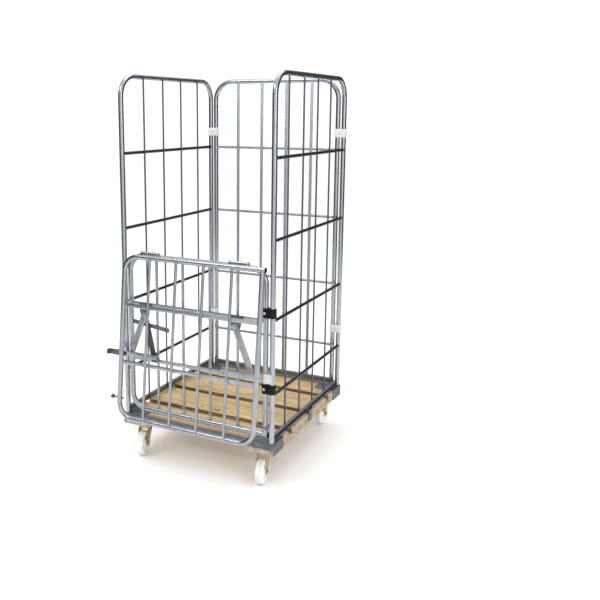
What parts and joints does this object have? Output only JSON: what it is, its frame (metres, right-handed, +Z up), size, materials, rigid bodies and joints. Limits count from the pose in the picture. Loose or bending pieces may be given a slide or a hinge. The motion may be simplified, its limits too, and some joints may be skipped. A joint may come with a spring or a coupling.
{
  "type": "roll cage container",
  "caption": "Wheeled cage with a timber deck, three fixed wire walls and a folding front gate that swings open; two swivel casters in front and two fixed at the back.",
  "frame": {"origin": "on the floor under the middle of the overall outline, latch and leaning gate half included", "axes": "+Z up, the gate at the -Y end, its hinge at +X"},
  "size_m": [0.765, 0.891, 1.6485],
  "materials": {
    "zinc": "bright electro-galvanised steel tube and wire",
    "dark_zinc": "dull grey zinc-plated pressed steel",
    "yellow_zinc": "yellow-passivated zinc on pressed steel",
    "pine": "planed softwood with knots",
    "nylon": "moulded white nylon",
    "black_plastic": "moulded black plastic"
  },
  "bodies": {
    "cage": {"back_wall": "zinc", "deck_board_1": "pine", "deck_board_2": "pine", "deck_board_3": "pine", "deck_board_4": "pine", "front_left_caster_plate": "yellow_zinc", "front_left_corner_bracket": "dark_zinc", "front_left_kingpin": "zinc", "front_rail": "zinc", "front_right_caster_plate": "yellow_zinc", "front_right_corner_bracket": "dark_zinc", "front_right_kingpin": "zinc", "left_bearer": "pine", "left_lower_wall_clip": "nylon", "left_side_wall": "zinc", "left_upper_wall_clip": "nylon", "rear_left_axle": "zinc", "rear_left_caster_bracket": "yellow_zinc", "rear_left_corner_bracket": "dark_zinc", "rear_rail": "zinc", "rear_right_axle": "zinc", "rear_right_caster_bracket": "yellow_zinc", "rear_right_corner_bracket": "dark_zinc", "right_bearer": "pine", "right_lower_wall_clip": "nylon", "right_side_wall": "zinc", "right_upper_wall_clip": "nylon"},
    "lower_gate": {"lower_gate": "zinc", "lower_gate_plug": "black_plastic", "lower_gate_hinge": "black_plastic", "upper_gate_hinge": "black_plastic", "lower_gate_hinge_screw": "zinc", "upper_gate_hinge_screw": "zinc", "gate_post_clip": "nylon", "left_stay_bracket": "dark_zinc", "right_stay_bracket": "dark_zinc", "left_stay_bolt": "zinc", "right_stay_bolt": "zinc", "left_guide_strap": "zinc", "right_guide_strap": "zinc", "left_stay_brace": "dark_zinc"},
    "upper_gate": {"upper_gate": "zinc", "upper_gate_plug": "black_plastic", "left_fold_pin": "zinc", "right_fold_pin": "zinc", "latch_rivet": "zinc", "left_stop_peg": "dark_zinc", "right_stop_peg": "dark_zinc"},
    "latch_hook": {"latch_hook": "dark_zinc"},
    "left_stay": {"left_stay": "zinc"},
    "right_stay": {"right_stay": "zinc"},
    "front_left_swivel": {"front_left_fork": "yellow_zinc", "front_left_axle": "zinc"},
    "front_right_swivel": {"front_right_fork": "yellow_zinc", "front_right_axle": "zinc"},
    "front_left_wheel": {"front_left_wheel": "nylon"},
    "front_right_wheel": {"front_right_wheel": "nylon"},
    "rear_left_wheel": {"rear_left_wheel": "nylon"},
    "rear_right_wheel": {"rear_right_wheel": "nylon"}
  },
  "joints": [
    {"name": "gate_swing", "type": "hinge", "parent": "cage", "child": "lower_gate", "pos_m": [0.3585, -0.32346, 0.55], "axis": [0, 0, 1], "range_deg": [0, 160]},
    {"name": "upper_gate_fold", "type": "hinge", "parent": "lower_gate", "child": "upper_gate", "pos_m": [0.011, -0.33996, 0.9145], "axis": [-1, 0, 0], "range_deg": [0, 173.8]},
    {"name": "latch_turn", "type": "hinge", "parent": "upper_gate", "child": "latch_hook", "pos_m": [-0.3075, -0.38837, 0.4827], "axis": [0, -0.9942, 0.108], "range_deg": [0, 65]},
    {"name": "left_stay_swing", "type": "hinge", "parent": "lower_gate", "child": "left_stay", "pos_m": [-0.231, -0.33706, 0.648], "axis": [0, -1, 0], "range_deg": [0, 34]},
    {"name": "right_stay_swing", "type": "hinge", "parent": "lower_gate", "child": "right_stay", "pos_m": [0.201, -0.33706, 0.653], "axis": [0, 1, 0], "range_deg": [0, 34]},
    {"name": "front_left_swivel_turn", "type": "hinge", "parent": "cage", "child": "front_left_swivel", "pos_m": [-0.279, -0.27346, 0.13], "axis": [0, 0, 1], "continuous": true},
    {"name": "front_left_wheel_spin", "type": "hinge", "parent": "front_left_swivel", "child": "front_left_wheel", "pos_m": [-0.27152, -0.30867, 0.054], "axis": [0.9781, 0.2079, 0], "continuous": true},
    {"name": "rear_left_wheel_spin", "type": "hinge", "parent": "cage", "child": "rear_left_wheel", "pos_m": [-0.279, 0.38054, 0.054], "axis": [1, 0, 0], "continuous": true},
    {"name": "front_right_swivel_turn", "type": "hinge", "parent": "cage", "child": "front_right_swivel", "pos_m": [0.301, -0.27346, 0.13], "axis": [0, 0, 1], "continuous": true},
    {"name": "front_right_wheel_spin", "type": "hinge", "parent": "front_right_swivel", "child": "front_right_wheel", "pos_m": [0.30849, -0.30867, 0.054], "axis": [0.9781, 0.2079, 0], "continuous": true},
    {"name": "rear_right_wheel_spin", "type": "hinge", "parent": "cage", "child": "rear_right_wheel", "pos_m": [0.301, 0.38054, 0.054], "axis": [1, 0, 0], "continuous": true}
  ]
}
